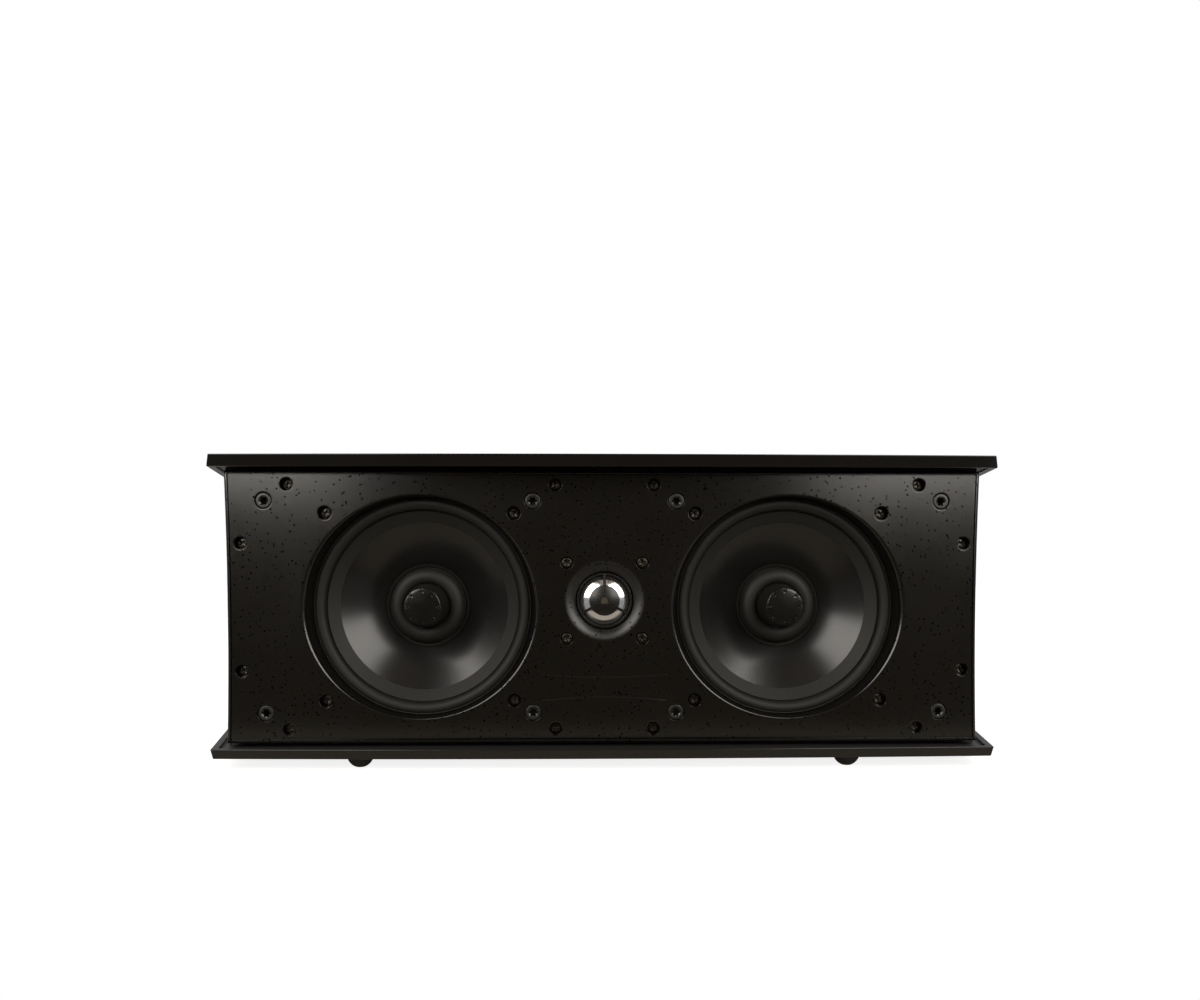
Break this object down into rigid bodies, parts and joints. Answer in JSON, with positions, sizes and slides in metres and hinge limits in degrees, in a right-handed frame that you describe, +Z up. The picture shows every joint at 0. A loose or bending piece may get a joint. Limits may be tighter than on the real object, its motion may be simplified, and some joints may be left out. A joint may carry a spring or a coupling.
{
  "type": "center channel speaker",
  "caption": "Low, wide loudspeaker for under a screen: cone woofers flank a dome tweeter on a moulded baffle, in a splayed cabinet between overhanging caps.",
  "frame": {"origin": "on the floor under the middle of the object", "axes": "+Z up, the baffle faces -Y, +X runs along the width to the right as seen from the front"},
  "size_m": [0.524, 0.2045, 0.1762],
  "materials": {
    "cap_moulding": "gloss black moulded polymer",
    "cabinet_board": "fibreboard with a satin black wrap",
    "baffle_moulding": "satin charcoal moulded polymer with fine pits",
    "foam": "closed-cell foam strip",
    "foot_rubber": "matte black rubber",
    "black_screw": "black-coated steel",
    "socket_plastic": "matte black polymer",
    "cast_alloy": "grey cast alloy",
    "surround_rubber": "matte black rubber",
    "cone_polymer": "satin black cone",
    "coil_winding": "enamelled winding on a thin former",
    "spider_cloth": "resin-stiffened cloth",
    "motor_steel": "zinc-plated steel",
    "ferrite": "dark grey sintered ferrite",
    "plug_polymer": "satin black polymer",
    "plug_cap_gloss": "gloss black polymer",
    "tweeter_polymer": "satin black polymer",
    "dome_metal": "bright formed metal",
    "terminal_polymer": "matte black polymer",
    "post_metal": "plated brass",
    "knob_red": "dark red polymer",
    "knob_black": "black polymer",
    "circuit_board": "green laminate",
    "copper_wire": "enamelled copper wire",
    "capacitor_sleeve": "shrink-wrapped can",
    "resistor_ceramic": "white ceramic",
    "damping_fibre": "white polyester wadding"
  },
  "bodies": {
    "cabinet": {"top_cap": "cap_moulding", "bottom_cap": "cap_moulding", "rubber_feet": "foot_rubber", "cabinet_top": "cabinet_board", "cabinet_bottom": "cabinet_board", "cabinet_side_left": "cabinet_board", "cabinet_side_right": "cabinet_board", "cabinet_rear": "cabinet_board", "cabinet_front": "cabinet_board", "baffle_gasket": "foam", "front_baffle": "baffle_moulding", "baffle_screws": "black_screw", "woofer_screws": "black_screw", "tweeter_screws": "black_screw", "grille_sockets": "socket_plastic", "woofer_baskets": "cast_alloy", "woofer_surrounds": "surround_rubber", "inner_surrounds": "surround_rubber", "woofer_spiders": "spider_cloth", "woofer_top_plates": "motor_steel", "woofer_magnets": "ferrite", "woofer_yokes": "motor_steel", "phase_plugs": "plug_polymer", "plug_caps": "plug_cap_gloss", "tweeter_plate": "tweeter_polymer", "tweeter_diffuser": "tweeter_polymer", "tweeter_surround": "surround_rubber", "tweeter_pole_cap": "motor_steel", "tweeter_magnet": "ferrite", "tweeter_yoke": "motor_steel", "terminal_cup": "terminal_polymer", "cup_screws": "black_screw", "terminal_posts": "post_metal", "terminal_nuts": "post_metal", "board_standoffs": "terminal_polymer", "crossover_board": "circuit_board", "crossover_coils": "copper_wire", "crossover_capacitors": "capacitor_sleeve", "crossover_resistors": "resistor_ceramic", "damping_pads": "damping_fibre"},
    "woofer_left": {"cone_left": "cone_polymer", "voice_coil_left": "coil_winding"},
    "woofer_right": {"cone_right": "cone_polymer", "voice_coil_right": "coil_winding"},
    "tweeter": {"tweeter_dome": "dome_metal", "tweeter_coil": "coil_winding"},
    "positive_knob": {"knob_positive": "knob_red"},
    "negative_knob": {"knob_negative": "knob_black"}
  },
  "joints": [
    {"name": "woofer_left_travel", "type": "slide", "parent": "cabinet", "child": "woofer_left", "axis": [0, -1, 0], "range_m": [-0.004, 0.004], "stiffness_N_per_m": 1000, "deforming": ["woofer_surrounds", "inner_surrounds", "woofer_spiders"]},
    {"name": "woofer_right_travel", "type": "slide", "parent": "cabinet", "child": "woofer_right", "axis": [0, -1, 0], "range_m": [-0.004, 0.004], "stiffness_N_per_m": 1000, "deforming": ["woofer_surrounds", "inner_surrounds", "woofer_spiders"]},
    {"name": "tweeter_travel", "type": "slide", "parent": "cabinet", "child": "tweeter", "axis": [0, -1, 0], "range_m": [-0.0004, 0.0004], "stiffness_N_per_m": 500, "deforming": ["tweeter_surround"]},
    {"name": "positive_knob_turn", "type": "hinge", "parent": "cabinet", "child": "positive_knob", "pos_m": [-0.0095, 0.08395, 0.09108], "axis": [0, 1, 0], "range_deg": [0, 720]},
    {"name": "negative_knob_turn", "type": "hinge", "parent": "cabinet", "child": "negative_knob", "pos_m": [0.0095, 0.08395, 0.09108], "axis": [0, 1, 0], "range_deg": [0, 720]}
  ]
}
